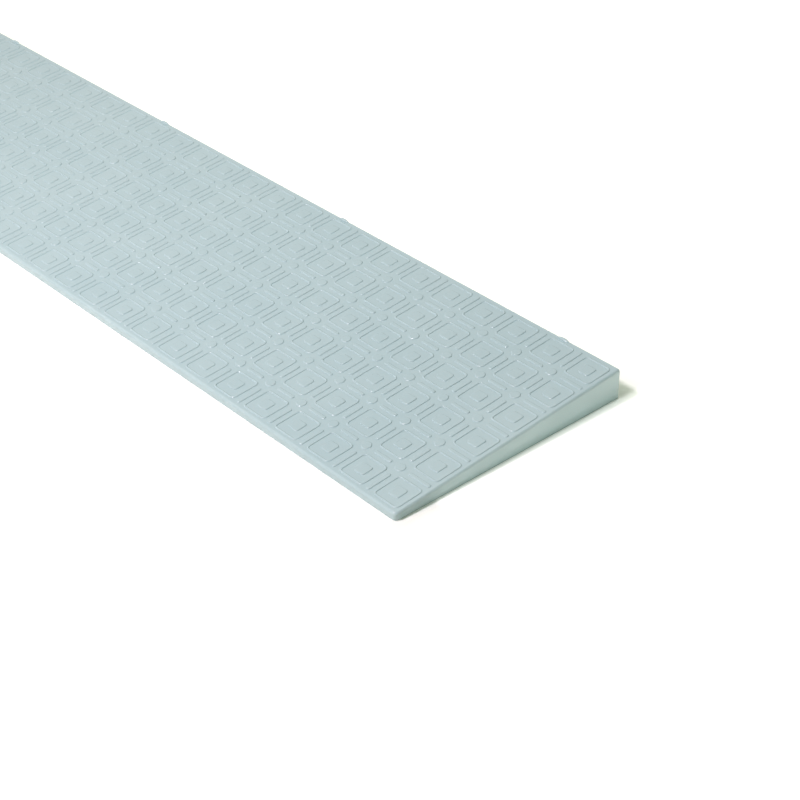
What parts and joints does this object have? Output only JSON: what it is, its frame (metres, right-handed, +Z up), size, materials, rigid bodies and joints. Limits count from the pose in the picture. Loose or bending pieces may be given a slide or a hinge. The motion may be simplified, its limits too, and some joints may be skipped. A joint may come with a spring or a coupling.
{
  "type": "threshold ramp",
  "caption": "Long low moulded wedge that lets wheels roll over a door threshold, with a raised non-slip tread on its slope and peel-off adhesive strips in its flat sole.",
  "frame": {"origin": "centre of the footprint, on the floor", "axes": "+X along the length, +Y from the thin nose to the high back wall, +Z up"},
  "size_m": [0.8, 0.135, 0.0169],
  "materials": {
    "moulded_plastic": "satin pale blue-grey moulding with a fine grain",
    "foam_tape": "matt closed-cell foam",
    "release_paper": "smooth waxed paper"
  },
  "bodies": {
    "root": {"ramp_body": "moulded_plastic", "tape_front": "foam_tape", "tape_middle": "foam_tape", "tape_back": "foam_tape", "liner_front": "release_paper", "liner_middle": "release_paper", "liner_back": "release_paper"}
  },
  "joints": []
}
